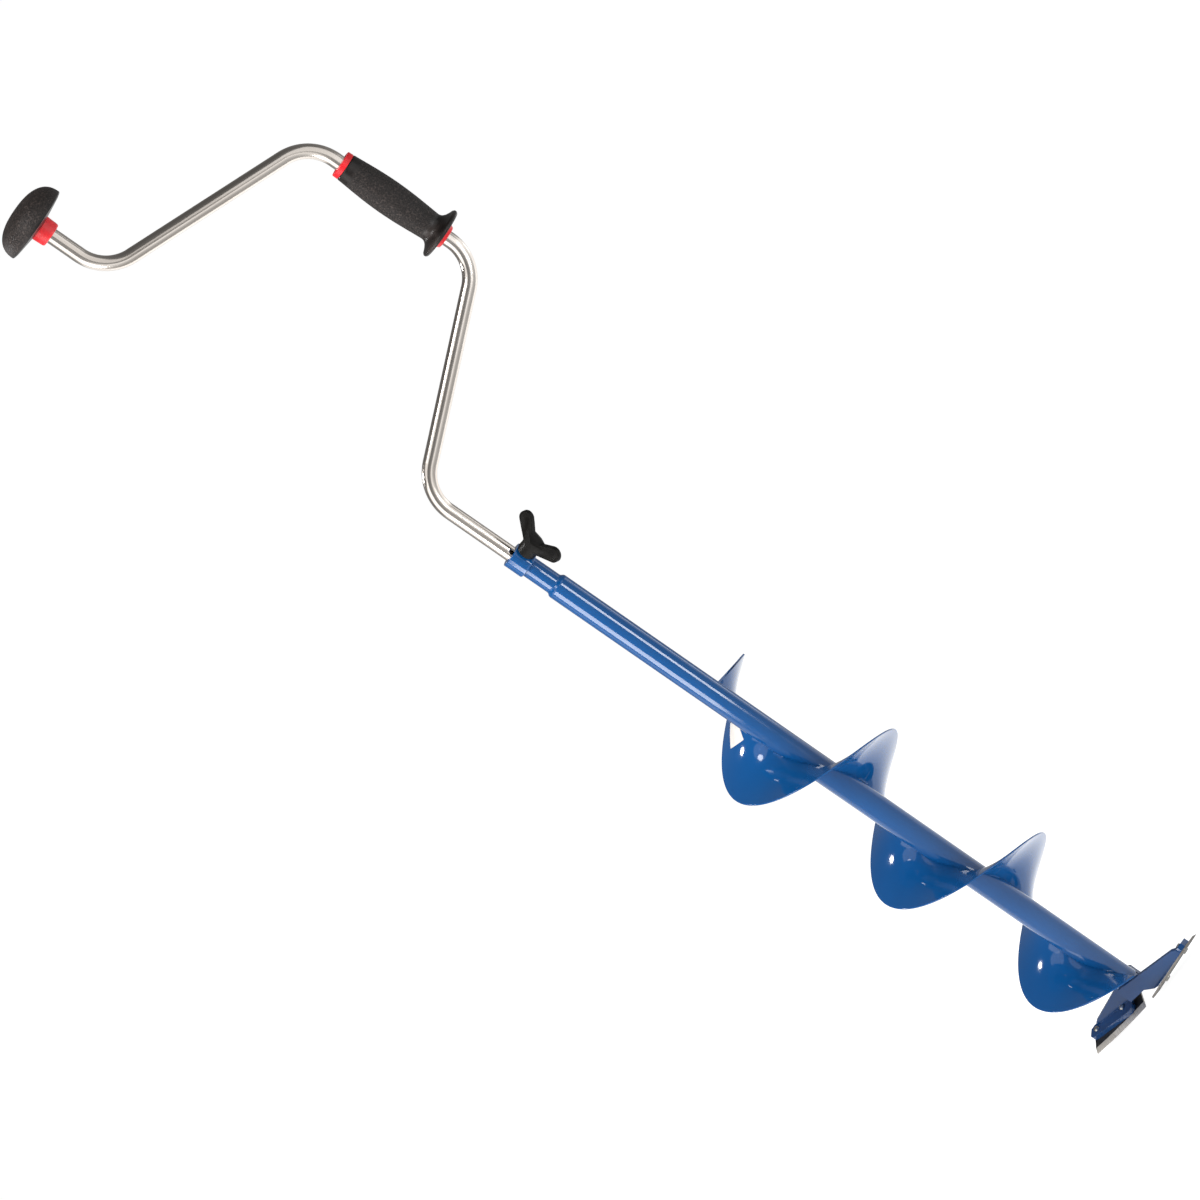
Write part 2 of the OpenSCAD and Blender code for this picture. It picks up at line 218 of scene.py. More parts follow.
# ---------------------------------------------------------------- materials
class Look:
    """A material and short ways to add nodes to it."""

    def __init__(self, name):
        self.material = bpy.data.materials.new(name)
        self.material.use_nodes = True
        self.nodes = self.material.node_tree.nodes
        self.links = self.material.node_tree.links
        self.shader = self.nodes["Principled BSDF"]
        self.where = self.nodes.new("ShaderNodeTexCoord").outputs["Object"]

    def set(self, **values):
        for key, value in values.items():
            self.shader.inputs[key.replace("_", " ")].default_value = value
        return self

    def join(self, source, target):
        self.links.new(source, target)

    def number(self, name):
        node = self.nodes.new("ShaderNodeAttribute")
        node.attribute_name = name
        return node.outputs["Fac"]

    def vector(self, x=None, y=None, z=None):
        node = self.nodes.new("ShaderNodeCombineXYZ")
        for socket, value in zip(node.inputs, (x, y, z)):
            if value is not None:
                self.join(value, socket)
        return node.outputs[0]

    def stretched(self, source, scale):
        node = self.nodes.new("ShaderNodeMapping")
        node.inputs["Scale"].default_value = scale
        self.join(source, node.inputs["Vector"])
        return node.outputs[0]

    def noise(self, scale, detail=2.0, source=None, rough=0.5):
        node = self.nodes.new("ShaderNodeTexNoise")
        node.inputs["Scale"].default_value = scale
        node.inputs["Detail"].default_value = detail
        node.inputs["Roughness"].default_value = rough
        self.join(source or self.where, node.inputs["Vector"])
        return node.outputs["Fac"]

    def cells(self, scale, source=None):
        node = self.nodes.new("ShaderNodeTexVoronoi")
        node.inputs["Scale"].default_value = scale
        self.join(source or self.where, node.inputs["Vector"])
        return node.outputs["Distance"]

    def spread(self, source, low, high, low_in=0.3, high_in=0.7):
        node = self.nodes.new("ShaderNodeMapRange")
        for key, value in zip(("From Min", "From Max", "To Min", "To Max"), (low_in, high_in, low, high)):
            node.inputs[key].default_value = value
        self.join(source, node.inputs["Value"])
        return node.outputs["Result"]

    def colours(self, source, stops):
        node = self.nodes.new("ShaderNodeValToRGB")
        ramp = node.color_ramp
        while len(ramp.elements) < len(stops):
            ramp.elements.new(0.5)
        for element, (at, colour) in zip(ramp.elements, stops):
            element.position, element.color = at, (*colour, 1)
        self.join(source, node.inputs["Fac"])
        return node.outputs["Color"]

    def blend(self, factor, a, b, colour=True):
        node = self.nodes.new("ShaderNodeMix")
        node.data_type = "RGBA" if colour else "FLOAT"
        kind = "RGBA" if colour else "VALUE"
        sockets = [s for s in node.inputs if s.enabled and s.type == kind and s.name in ("A", "B")]
        self.join(factor, node.inputs[0])
        for socket, value in zip(sockets, (a, b)):
            if isinstance(value, (int, float)):
                socket.default_value = value
            elif isinstance(value, tuple):
                socket.default_value = (*value, 1)
            else:
                self.join(value, socket)
        return [s for s in node.outputs if s.enabled and s.type == kind][0]

    def bump(self, *layers):
        """Each layer is (height, distance in metres)."""
        normal = None
        for height, distance in layers:
            node = self.nodes.new("ShaderNodeBump")
            node.inputs["Strength"].default_value = 1.0
            node.inputs["Distance"].default_value = distance
            self.join(height, node.inputs["Height"])
            if normal:
                self.join(normal, node.inputs["Normal"])
            normal = node.outputs[0]
        self.join(normal, self.shader.inputs["Normal"])
        return self

    def colour(self, source):
        self.join(source, self.shader.inputs["Base Color"])
        return self

    def roughness(self, source):
        self.join(source, self.shader.inputs["Roughness"])
        return self


def blue_enamel():
    k = Look("blue_enamel").set(IOR=1.5, Coat_Weight=0.35, Coat_Roughness=0.03)
    drift = k.noise(9, 3)
    k.colour(k.colours(drift, [(0.3, (0.0030, 0.068, 0.228)), (0.7, (0.0042, 0.079, 0.258))]))
    k.roughness(k.spread(k.noise(60, 4), 0.06, 0.13))
    k.bump((k.noise(420, 2), 0.0000008), (k.noise(30, 1), 0.00002))
    return k.material


def shaded_arm_enamel():
    """The blue enamel in darker blues, as painted shade on the arms and bridge, with a coat that runs a
    little uneven over the pressed plate.
    """
    k = Look("shaded_arm_enamel").set(IOR=1.5, Coat_Weight=0.4, Coat_Roughness=0.05)
    drift = k.noise(22, 3)
    # These darker blues are painted shade on the same paint as the tube, not a different coat.
    k.colour(k.colours(drift, [(0.3, (0.0040, 0.034, 0.120)), (0.7, (0.0050, 0.048, 0.160))]))
    k.roughness(k.spread(k.noise(90, 4), 0.10, 0.22))
    k.bump((k.noise(85, 2), 0.00022), (k.noise(380, 2), 0.00002))
    return k.material


def bright_zinc():
    k = Look("bright_zinc_tube").set(Metallic=1.0)
    run = k.vector(k.number("around"), k.number("along"))
    draw = k.noise(1, 5, k.stretched(run, (1800, 7, 1)), 0.6)
    broad = k.noise(1, 3, k.stretched(run, (260, 3, 1)))
    bloom = k.noise(14, 4)
    silver = k.colours(broad, [
        (0.25, (0.66, 0.60, 0.545)), (0.5, (0.80, 0.74, 0.68)), (0.8, (0.88, 0.83, 0.78))])
    k.colour(k.blend(k.spread(bloom, 0.0, 0.35, 0.5, 0.8), silver, (0.60, 0.53, 0.46)))
    k.roughness(k.spread(draw, 0.13, 0.23))
    k.bump((draw, 0.0000010), (k.noise(900, 2), 0.0000005))
    return k.material


def zinc_hardware():
    k = Look("zinc_hardware").set(Metallic=1.0)
    k.colour(k.colours(k.noise(220, 4), [(0.3, (0.50, 0.49, 0.46)), (0.7, (0.74, 0.73, 0.70))]))
    k.roughness(k.spread(k.noise(900, 3), 0.2, 0.42))
    k.bump((k.noise(1500, 2), 0.00001))
    return k.material


def blade_steel():
    k = Look("blade_steel")
    ground = k.number("ground")
    run = k.vector(k.number("around"), k.number("along"))
    marks = k.noise(1, 4, k.stretched(run, (2600, 120, 1)), 0.65)
    oxide = k.colours(k.noise(180, 5), [(0.3, (0.010, 0.010, 0.011)), (0.75, (0.034, 0.033, 0.034))])
    steel = k.colours(marks, [(0.3, (0.44, 0.40, 0.35)), (0.7, (0.74, 0.69, 0.62))])
    k.colour(k.blend(ground, oxide, steel))
    k.roughness(k.blend(ground, k.spread(k.noise(300, 4), 0.34, 0.55), k.spread(marks, 0.22, 0.42), False))
    k.join(k.spread(ground, 0.55, 0.35, 0.0, 1.0), k.shader.inputs["Metallic"])
    k.bump((k.noise(1100, 3), 0.000015), (marks, 0.00001))
    return k.material


def black_rubber():
    k = Look("black_rubber").set(IOR=1.47, Specular_IOR_Level=0.42)
    grain = k.number("grain")
    pebble = k.cells(640)
    fine = k.noise(1500, 3)
    tone = k.blend(
        grain, k.noise(40, 3),
        k.blend(k.spread(k.noise(700, 2), 0.0, 1.0, 0.3, 0.7), pebble, fine, False), False)
    k.colour(k.colours(tone, [
        (0.2, (0.0020, 0.0017, 0.0016)), (0.5, (0.0105, 0.0079, 0.0071)), (0.8, (0.046, 0.035, 0.031))]))
    k.roughness(k.blend(grain, k.spread(k.noise(200, 3), 0.30, 0.38), k.spread(fine, 0.5, 0.75), False))
    k.bump((k.blend(grain, 0.5, pebble, False), 0.0003), (k.blend(grain, 0.5, fine, False), 0.0001))
    return k.material


def black_plastic():
    k = Look("black_plastic").set(IOR=1.46, Specular_IOR_Level=0.2)
    k.colour(k.colours(k.noise(160, 4), [(0.3, (0.0022, 0.0020, 0.0018)), (0.7, (0.0065, 0.0058, 0.0050))]))
    k.roughness(k.spread(k.noise(500, 3), 0.36, 0.54))
    k.bump((k.noise(1300, 2), 0.00004), (k.noise(120, 2), 0.0001))
    return k.material


def red_plastic():
    k = Look("red_plastic").set(IOR=1.49, Subsurface_Weight=0.12, Subsurface_Scale=0.002)
    k.colour(k.colours(k.noise(70, 3), [(0.3, (0.60, 0.006, 0.012)), (0.7, (0.74, 0.012, 0.02))]))
    k.roughness(k.spread(k.noise(420, 3), 0.26, 0.4))
    k.bump((k.noise(700, 2), 0.00003))
    return k.material


def blank_label():
    k = Look("blank_label").set(Coat_Weight=0.3, Coat_Roughness=0.15)
    edge = k.number("around")
    worn = k.noise(900, 4)
    paper = k.colours(k.noise(160, 5), [(0.3, (0.70, 0.66, 0.62)), (0.7, (0.80, 0.77, 0.73))])
    soiled = k.blend(k.spread(worn, 0.0, 1.0, 0.45, 0.7), paper, (0.62, 0.56, 0.50))
    k.colour(k.blend(k.spread(edge, 0.0, 0.6, 0.80, 1.0), paper, soiled))
    k.roughness(k.spread(worn, 0.35, 0.55))
    k.bump((k.noise(700, 3), 0.00002))
    return k.material


def brass():
    k = Look("brass").set(Metallic=1.0)
    k.colour(k.colours(k.noise(300, 4), [(0.3, (0.55, 0.36, 0.12)), (0.7, (0.76, 0.55, 0.24))]))
    k.roughness(k.spread(k.noise(900, 3), 0.22, 0.4))
    k.bump((k.noise(1500, 2), 0.00001))
    return k.material


LOOKS = {
    "blue_enamel": blue_enamel(), "shaded_arm_enamel": shaded_arm_enamel(), "bright_zinc_tube": bright_zinc(),
    "zinc_hardware": zinc_hardware(),
    "blade_steel": blade_steel(), "black_rubber": black_rubber(), "black_plastic": black_plastic(),
    "red_plastic": red_plastic(), "blank_label": blank_label(), "brass": brass()}
make_camera()


# ---------------------------------------------------------------- drill tube
TUBE_WALL = 1.5 * MM
tube_low, tube_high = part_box("auger_tube")
TUBE_R = tube_high.x
tube_pts = cad_points("auger_tube")
tube_out = np.hypot(tube_pts[:, 0], tube_pts[:, 1])
NECK_R = float(tube_out[tube_pts[:, 2] > tube_high.z - 1e-5].max())
SWAGE_Z = float(tube_pts[tube_out > TUBE_R - 1e-5, 2].max())
NECK_Z = float(min(z for r, z in zip(tube_out, tube_pts[:, 2]) if z > SWAGE_Z + 1e-5 and r > NECK_R - 1e-5))
NECK_RI = float(tube_out[tube_pts[:, 2] > tube_high.z - 1e-5].min())


def drill_tube():
    edge, bend = 0.4 * MM, 9 * MM
    outline = [
        (TUBE_R - TUBE_WALL, tube_low.z, edge), (TUBE_R, tube_low.z, edge),
        (TUBE_R, SWAGE_Z, bend), (NECK_R, NECK_Z, bend),
        (NECK_R, tube_high.z, edge), (NECK_RI, tube_high.z, edge),
        (NECK_RI, NECK_Z, bend), (TUBE_R - TUBE_WALL, SWAGE_Z, bend)]
    tube = lathe("drill_tube", outline, LOOKS["blue_enamel"], segments=160)
    place_on(tube, "auger", "blue_enamel", "auger_tube")


def collar():
    low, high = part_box("socket_collar")
    edge = 0.7 * MM
    outline = [
        (NECK_R, low.z, 0), (TUBE_R - 0.1 * MM, low.z, edge), (TUBE_R, low.z + 3 * MM, 0),
        (TUBE_R, high.z, edge), (NECK_R, high.z, 0)]
    ring = lathe("collar", outline, LOOKS["blue_enamel"], segments=160)
    place_on(ring, "auger", "blue_enamel", "socket_collar")
    plug_low, plug_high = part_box("tube_end_plug")
    r, edge = plug_high.x, 0.6 * MM
    plug = lathe("end_plug", [
        (0, plug_low.z + 0.6 * MM), (r - 3 * MM, plug_low.z + 0.6 * MM, 1 * MM),
        (r - 2 * MM, plug_low.z, edge), (r, plug_low.z, edge), (r, plug_high.z, edge), (0, plug_high.z)],
        LOOKS["black_plastic"], closed=False)
    place_on(plug, "auger", "black_plastic", "tube_end_plug")


# ---------------------------------------------------------------- flighting
FLIGHTS = ("flight_lower", "flight_middle", "flight_upper")
SHEET_T = 2.2 * MM
TOP_SWEEP = 26.0
flight_pts = np.concatenate([cad_points(n) for n in FLIGHTS])
flight_out = np.hypot(flight_pts[:, 0], flight_pts[:, 1])
FLIGHT_R = float(flight_out.max())
rim = flight_pts[flight_out > FLIGHT_R - 1e-5]
rim = rim[np.argsort(rim[:, 2])]
rim_turn = np.unwrap(np.arctan2(rim[:, 1], rim[:, 0]))
slope, phase = np.polyfit(rim[:, 2], rim_turn, 1)
RIM_Z0 = float(rim[0, 2]) + SHEET_T / 2
SWEEP = abs(float(rim[-1, 2]) - SHEET_T / 2 - RIM_Z0) * abs(slope)


def on_helix(turn, radius, lift=0.0):
    """A point of the sheet: turn in radians past its lower end, radius, and height over its middle."""
    z = RIM_Z0 + turn / abs(slope)
    angle = slope * z + phase
    return np.stack(np.broadcast_arrays(radius * np.cos(angle), radius * np.sin(angle), z + lift), -1)


def sheet_section():
    """Outline of the sheet across its width, from the tube out along the top and back below."""
    root, tip = TUBE_R - 0.3 * MM, FLIGHT_R - 0.05 * MM
    half_in, half_out = SHEET_T / 2, SHEET_T / 2 - 0.25 * MM
    spans = np.linspace(0, 1, 13)[:-1]
    body = root + (tip - half_out - root) * spans
    lift = half_in + (half_out - half_in) * spans
    nose = np.linspace(90, -90, 7)
    r = np.concatenate([body, tip - half_out + half_out * np.cos(np.radians(nose)), body[::-1]])
    h = np.concatenate([lift, half_out * np.sin(np.radians(nose)), -lift[::-1]])
    return r, h


def flighting():
    r, h = sheet_section()
    across = (r - r.min()) / (r.max() - r.min())
    third = SWEEP / 3
    for i, node in enumerate(FLIGHTS):
        t = np.linspace(0, 1, 170)[:, None]
        extra = math.radians(TOP_SWEEP) if i == 2 else 0
        turn = i * third + t * third + np.clip(3 * t - 2, 0, 1) * (1 - across)[None, :] * extra
        wave = 0.10 * MM * np.sin(2.3 * turn + 9 * across) * across
        pts = on_helix(turn, np.broadcast_to(r, turn.shape), h[None, :] + wave)
        piece = grid(node + "_sheet", pts, LOOKS["blue_enamel"], False, True, cap=True)
        place_on(piece, "auger", "blue_enamel", node)


def root_welds():
    """Short weld beads in the corner between the sheet and the tube, on both faces."""
    size, ripple, pitch = 2.4 * MM, 0.22 * MM, 2.6 * MM
    spots = [(0.02, 0.45), (SWEEP / 3 - 0.2, 0.4), (2 * SWEEP / 3 - 0.2, 0.4), (SWEEP - 0.35, 0.62)]
    spots += [(SWEEP * f, 0.34) for f in (0.16, 0.5, 0.83)]
    arc = np.radians(np.linspace(0, 90, 7))
    number = 0
    for side in (1, -1):
        for start, span in spots:
            turn = np.linspace(start, start + span, 60)[:, None]
            s = np.linspace(0, 1, 60)[:, None]
            taper = np.sqrt(np.clip(1 - np.abs(2 * s - 1) ** 6, 0, 1))
            beat = (turn * TUBE_R / pitch) % 1.0
            w = size * taper + ripple * np.sin(math.pi * beat) * taper + 1e-5
            out = TUBE_R - 0.2 * MM + w * (1 - 0.75 * np.sin(arc))[None, :]
            up = SHEET_T / 2 - 0.2 * MM + w * (1 - 0.75 * np.cos(arc))[None, :]
            inner_r = np.full_like(turn, TUBE_R - 0.6 * MM)
            inner_h = np.full_like(turn, SHEET_T / 2 - 0.6 * MM)
            radius = np.concatenate([out, inner_r], 1)
            lift = side * np.concatenate([up, inner_h], 1)
            pts = on_helix(np.broadcast_to(turn, radius.shape), radius, lift)
            bead = grid(f"root_weld_{number}", pts, LOOKS["blue_enamel"], False, True, cap=True)
            place_on(bead, "auger", "blue_enamel")
            number += 1


def label():
    pts = cad_points("flight_label")
    radius = np.hypot(pts[:, 0], pts[:, 1])
    inner, outer = float(radius.min()), float(radius.max())
    turns = (pts[:, 2] - SHEET_T / 2 - 0.125 * MM - RIM_Z0) * abs(slope)
    low, high = float(turns.min()), float(turns.max())
    skew = math.radians(4)
    n, m = 34, 34
    u, v = np.meshgrid(np.linspace(0, 1, n), np.linspace(0, 1, m), indexing="ij")
    turn = low + skew * v + (high - low - skew) * u
    r = inner + (outer - inner) * v
    edge = np.maximum(np.abs(2 * u - 1), np.abs(2 * v - 1))
    curl = 0.25 * MM * np.clip(edge - 0.9, 0, 1) * 4 * (u > 0.5)
    top = on_helix(turn, r, SHEET_T / 2 + 0.24 * MM + curl)
    under = on_helix(turn, r, SHEET_T / 2 + 0.06 * MM + curl)
    bm = bmesh.new()
    layer = bm.verts.layers.float.new("around")
    sheets = []
    for face in (top, under):
        verts = [[bm.verts.new(face[i, k]) for k in range(m)] for i in range(n)]
        for i in range(n):
            for k in range(m):
                verts[i][k][layer] = edge[i, k]
        for i in range(n - 1):
            for k in range(m - 1):
                bm.faces.new([verts[i][k], verts[i + 1][k], verts[i + 1][k + 1], verts[i][k + 1]])
        sheets.append(verts)
    a, b = sheets
    border = [(i, 0) for i in range(n)] + [(n - 1, k) for k in range(1, m)]
    border += [(i, m - 1) for i in range(n - 2, -1, -1)] + [(0, k) for k in range(m - 2, 0, -1)]
    for (i, k), (i2, k2) in zip(border, border[1:] + border[:1]):
        bm.faces.new([a[i][k], a[i2][k2], b[i2][k2], b[i][k]])
    piece = finish_mesh("label", bm, LOOKS["blank_label"])
    place_on(piece, "auger", "blank_label", "flight_label")


# ---------------------------------------------------------------- cutting head
def cutting_head():
    for side in ("a", "b"):
        # The arms and bridge take the darker enamel, which paints the shade over the head.
        arm = from_cad("cutter_arm_" + side + "_body", "cutter_arm_" + side, LOOKS["shaded_arm_enamel"], 1.1 * MM)
        place_on(arm, "auger", "blue_enamel", "cutter_arm_" + side)
        blade(side)
    bridge = from_cad("bridge", "hub_bridge", LOOKS["shaded_arm_enamel"], 0.6 * MM)
    place_on(bridge, "auger", "blue_enamel", "hub_bridge")


def blade(side):
    node = "blade_" + side
    piece = from_cad(node + "_body", node, LOOKS["blade_steel"], 0.12 * MM, 2)
    mesh = piece.data
    sizes = sorted(((p.area, p.index) for p in mesh.polygons), reverse=True)
    top = next(mesh.polygons[i].normal.copy() for _, i in sizes if mesh.polygons[i].normal.z > 0.5)
    ground = mesh.attributes.new("ground", "FLOAT", "FACE")
    along = mesh.attributes.new("along", "FLOAT", "POINT")
    around = mesh.attributes.new("around", "FLOAT", "POINT")
    for p in mesh.polygons:
        tilt = math.degrees(p.normal.angle(top))
        ground.data[p.index].value = 1.0 if 8 < tilt < 50 else 0.3 if 60 < tilt < 120 else 0.0
    for v in mesh.vertices:
        along.data[v.index].value = v.co.z
        around.data[v.index].value = math.hypot(v.co.x, v.co.y)
    place_on(piece, "auger", "blade_steel", node)


def blade_screws():
    """Four screws: a low slotted head under the blade and a threaded end that shows over the seat."""
    mesh = frame["nodes"]["blade_screws"].data
    bm = bmesh.new()
    bm.from_mesh(mesh)
    bmesh.ops.remove_doubles(bm, verts=bm.verts, dist=1e-6)
    islands, seen = [], set()
    for v in bm.verts:
        if v.index in seen:
            continue
        stack, island = [v], []
        seen.add(v.index)
        while stack:
            w = stack.pop()
            island.append(w.co.copy())
            for e in w.link_edges:
                o = e.other_vert(w)
                if o.index not in seen:
                    seen.add(o.index)
                    stack.append(o)
        islands.append(np.array(island))
    faces = [(f.calc_area(), f.normal.copy(), f.calc_center_median()) for f in bm.faces]
    bm.free()
    for number, pts in enumerate(islands):
        middle = pts.mean(0)
        _, _, shape = np.linalg.svd(pts - middle)
        axis = Vector(shape[0])
        if axis.z < 0:
            axis = -axis
        spread = (pts - middle) @ np.array(axis)
        radial = np.linalg.norm((pts - middle) - spread[:, None] * np.array(axis), axis=1)
        wide = pts[radial > radial.max() - 0.3 * MM]
        foot = Vector(wide.mean(0))
        centre = Vector(middle) + axis * (foot - Vector(middle)).dot(axis)
        head_top = float(((wide - np.array(centre)) @ np.array(axis)).max())
        bottom = float(((pts - np.array(centre)) @ np.array(axis)).min())
        top = float(((pts - np.array(centre)) @ np.array(axis)).max())
        turn = axis.to_track_quat("Z", "Y").to_matrix().to_4x4()
        place = Matrix.Translation(centre) @ turn
        r = 3.0 * MM
        head_r = float(radial.max())
        outline = [
            (0, bottom), (head_r - 1.6 * MM, bottom, 0.3 * MM), (head_r, head_top - 0.3 * MM, 0.3 * MM),
            (head_r, head_top), (r, head_top)]
        depth, pitch = 0.42 * MM, 1.0 * MM
        z = head_top + 0.4 * MM
        while z < top - 1.0 * MM:
            outline += [(r, z), (r - depth, z + pitch / 2)]
            z += pitch
        outline += [(r, top - 0.7 * MM), (r - 0.7 * MM, top, 0.2 * MM), (0, top)]
        screw = lathe(
            f"blade_screw_{number}", outline, LOOKS["zinc_hardware"], segments=48, closed=False, place=place)
        bm = bmesh.new()
        bmesh.ops.create_cube(bm, size=1.0)
        bmesh.ops.scale(bm, vec=(3 * head_r, 1.1 * MM, 2 * MM), verts=bm.verts)
        bmesh.ops.transform(bm, matrix=place @ Matrix.Translation((0, 0, bottom)), verts=bm.verts)
        carve(screw, finish_mesh("slot", bm, LOOKS["zinc_hardware"], False))
        place_on(screw, "auger", "zinc_hardware", "blade_screws")


# ---------------------------------------------------------------- crank
BEND_R, BEND_TURN = 43.5 * MM, math.radians(67.5)
GRIP_RUN, TOP_RUN = 130.5 * MM, 54 * MM
crank_low, crank_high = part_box("crank_tube")
CRANK_R = -crank_low.x
CRANK_WALL = 1.5 * MM
THROW = crank_high.x - CRANK_R


def crank_path():
    """Points down the middle of the crank tube, its direction and how much it is bending there."""
    bend_x = BEND_R * (1 - math.cos(BEND_TURN))
    bend_z = BEND_R * math.sin(BEND_TURN)
    slant = (THROW - 2 * bend_x) / math.sin(BEND_TURN)
    step = 2 * bend_z + slant * math.cos(BEND_TURN)
    shank_top = crank_high.z - TOP_RUN - GRIP_RUN - 2 * step
    runs = [
        ("run", shank_top - crank_low.z), ("bend", 1), ("run", slant), ("bend", -1), ("run", GRIP_RUN),
        ("bend", -1), ("run", slant), ("bend", 1), ("run", TOP_RUN)]
    here, heading, length = Vector((0, 0, crank_low.z)), 0.0, 0.0
    rows = [(here.copy(), heading, 0.0, 0.0)]
    for kind, amount in runs:
        if kind == "run":
            steps = max(4, int(amount / 0.008))
            way = Vector((math.sin(heading), 0, math.cos(heading)))
            start = here.copy()
            for k in range(1, steps + 1):
                rows.append((start + way * amount * k / steps, heading, length + amount * k / steps, 0.0))
            here, length = start + way * amount, length + amount
        else:
            steps = 44
            side = Vector((math.cos(heading), 0, -math.sin(heading))) * amount
            centre, first = here + side * BEND_R, heading
            for k in range(1, steps + 1):
                turned = first + amount * BEND_TURN * k / steps
                out = Vector((math.cos(turned), 0, -math.sin(turned))) * amount
                rows.append((
                    centre - out * BEND_R, turned, length + BEND_R * BEND_TURN * k / steps,
                    amount * math.sin(math.pi * k / steps) ** 0.7 if k < steps else 0.0))
            here, heading, length = rows[-1][0].copy(), turned, rows[-1][2]
    return rows


def crank():
    rows = crank_path()
    segments = 64
    phi = np.arange(segments) * 2 * math.pi / segments
    flatten = 0.035

    def skin(radius, order):
        pts, run = [], []
        for middle, heading, length, bend in order:
            side = np.array([math.cos(heading), 0, -math.sin(heading)])
            squeeze = 1 - flatten * abs(bend)
            ring = (np.array(middle) + radius * squeeze * np.cos(phi)[:, None] * side
                    + radius * np.sin(phi)[:, None] * np.array([0, 1, 0]))
            pts.append(ring)
            run.append(np.full(segments, length))
        return np.array(pts), np.array(run)

    outer, run_out = skin(CRANK_R, rows)
    inner, run_in = skin(CRANK_R - CRANK_WALL, rows[::-1])
    pts, run = np.concatenate([outer, inner]), np.concatenate([run_out, run_in])
    around = np.broadcast_to(phi * CRANK_R, run.shape)
    tube = grid("crank", pts, LOOKS["bright_zinc_tube"], True, True, along=run, around=around)
    hole_z, hole_turn, hole_r = 745.9 * MM, math.radians(-76), 2.5 * MM
    bm = bmesh.new()
    bmesh.ops.create_cone(bm, cap_ends=True, segments=40, radius1=hole_r, radius2=hole_r, depth=3 * CRANK_R)
    place = (Matrix.Translation((0, 0, hole_z)) @ Matrix.Rotation(hole_turn, 4, "Z")
             @ Matrix.Rotation(math.pi / 2, 4, "Y") @ Matrix.Translation((0, 0, 1.5 * CRANK_R)))
    bmesh.ops.transform(bm, matrix=place, verts=bm.verts)
    carve(tube, finish_mesh("hole", bm, LOOKS["bright_zinc_tube"], False))
    place_on(tube, "crank", "bright_zinc_tube", "crank_tube")
    plug_low, plug_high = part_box("crank_end_plug")
    r, flange = CRANK_R - CRANK_WALL, CRANK_R - 0.3 * MM
    plug = lathe("crank_plug", [
        (0, plug_low.z), (r, plug_low.z, 1 * MM), (r, crank_high.z, 0.1 * MM),
        (flange, crank_high.z, 0.2 * MM), (flange, plug_high.z, 0.5 * MM), (0, plug_high.z)],
        LOOKS["zinc_hardware"], segments=64, closed=False)
    place_on(plug, "crank", "zinc_hardware", "crank_end_plug")
    ring_low, ring_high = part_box("knob_retaining_ring")
    edge = 0.2 * MM
    ring = lathe("retaining_ring", [
        (CRANK_R, ring_low.z, edge), (ring_high.x, ring_low.z, edge), (ring_high.x, ring_high.z, edge),
        (CRANK_R, ring_high.z, edge)], LOOKS["zinc_hardware"], segments=64)
    place_on(ring, "crank", "zinc_hardware", "knob_retaining_ring")


# ---------------------------------------------------------------- grip
def add_grain(piece, grained):
    """Marks how much of the moulded grain each point has, from 0 to 1. grained takes (radius, height)."""
    mesh = piece.data
    layer = mesh.attributes.new("grain", "FLOAT", "POINT")
    cx = sum(v.co.x for v in mesh.vertices) / len(mesh.vertices)
    for v in mesh.vertices:
        layer.data[v.index].value = grained(math.hypot(v.co.x - cx, v.co.y), v.co.z)


def ramp(value, low, high):
    return min(1.0, max(0.0, (value - low) / (high - low)))


def grip():
    low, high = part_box("grip_sleeve")
    cx = (low.x + high.x) / 2
    flange_r, bore = (high.x - low.x) / 2, 10.5 * MM
    neck, swell = 13.9 * MM, 2.6 * MM
    z0, z1 = low.z, high.z
    lip, flare_top = z0 + 5 * MM, z0 + 14.5 * MM
    flare = [(neck + (flange_r - 2 * MM - neck) * (1 - t) ** 2.6, lip + (flare_top - lip) * t)
             for t in np.linspace(0, 1, 22)]
    barrel = [
        (neck - 0.2 * MM * t + swell * math.sin(math.pi * t) ** 1.1,
         flare_top + (z1 - 1.4 * MM - flare_top) * t)
        for t in np.linspace(0.015, 1, 60)]
    outline = [
        (bore, z0, 0.4 * MM), (flange_r - 1.2 * MM, z0, 1.1 * MM), (flange_r, z0 + 1.6 * MM, 1.0 * MM),
        (flange_r, z0 + 3.4 * MM, 1.2 * MM), (flange_r - 1.6 * MM, z0 + 4.9 * MM, 0.6 * MM),
        *flare, *barrel, (neck - 0.6 * MM, z1 - 0.5 * MM, 0.4 * MM), (neck - 1.2 * MM, z1, 0.3 * MM),
        (bore, z1, 0.4 * MM)]
    sleeve = lathe("grip", outline, LOOKS["black_rubber"], (cx, 0), 144)
    band = 9 * MM
    add_grain(sleeve, lambda r, z: (
        ramp(z, flare_top + 1 * MM, flare_top + 4 * MM) * (1 - ramp(z, z1 - band - 2 * MM, z1 - band))
        * ramp(r, bore + 1 * MM, bore + 2 * MM)))
    place_on(sleeve, "grip", "black_rubber", "grip_sleeve")
    shaft = CRANK_R + 0.07 * MM
    bushes = (("grip_bush_low", "grip_bush_lower", 1), ("grip_bush_high", "grip_bush_upper", -1))
    for name, node, up in bushes:
        b_low, b_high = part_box(node)
        foot, far = (b_low.z, b_high.z) if up > 0 else (b_high.z, b_low.z)
        face = z0 if up > 0 else z1
        wide = (b_high.x - b_low.x) / 2
        tip = wide - (2.2 * MM if up > 0 else 0.2 * MM)
        outline = [
            (shaft, foot, 0.5 * MM), (tip, foot, 0.7 * MM), (wide, face - up * 0.2 * MM, 0.3 * MM),
            (wide - 0.3 * MM, face, 0), (bore, face, 0), (bore, far, 0.5 * MM), (shaft, far, 0.4 * MM)]
        bush = lathe(name, outline, LOOKS["red_plastic"], (cx, 0))
        place_on(bush, "grip", "red_plastic", node)


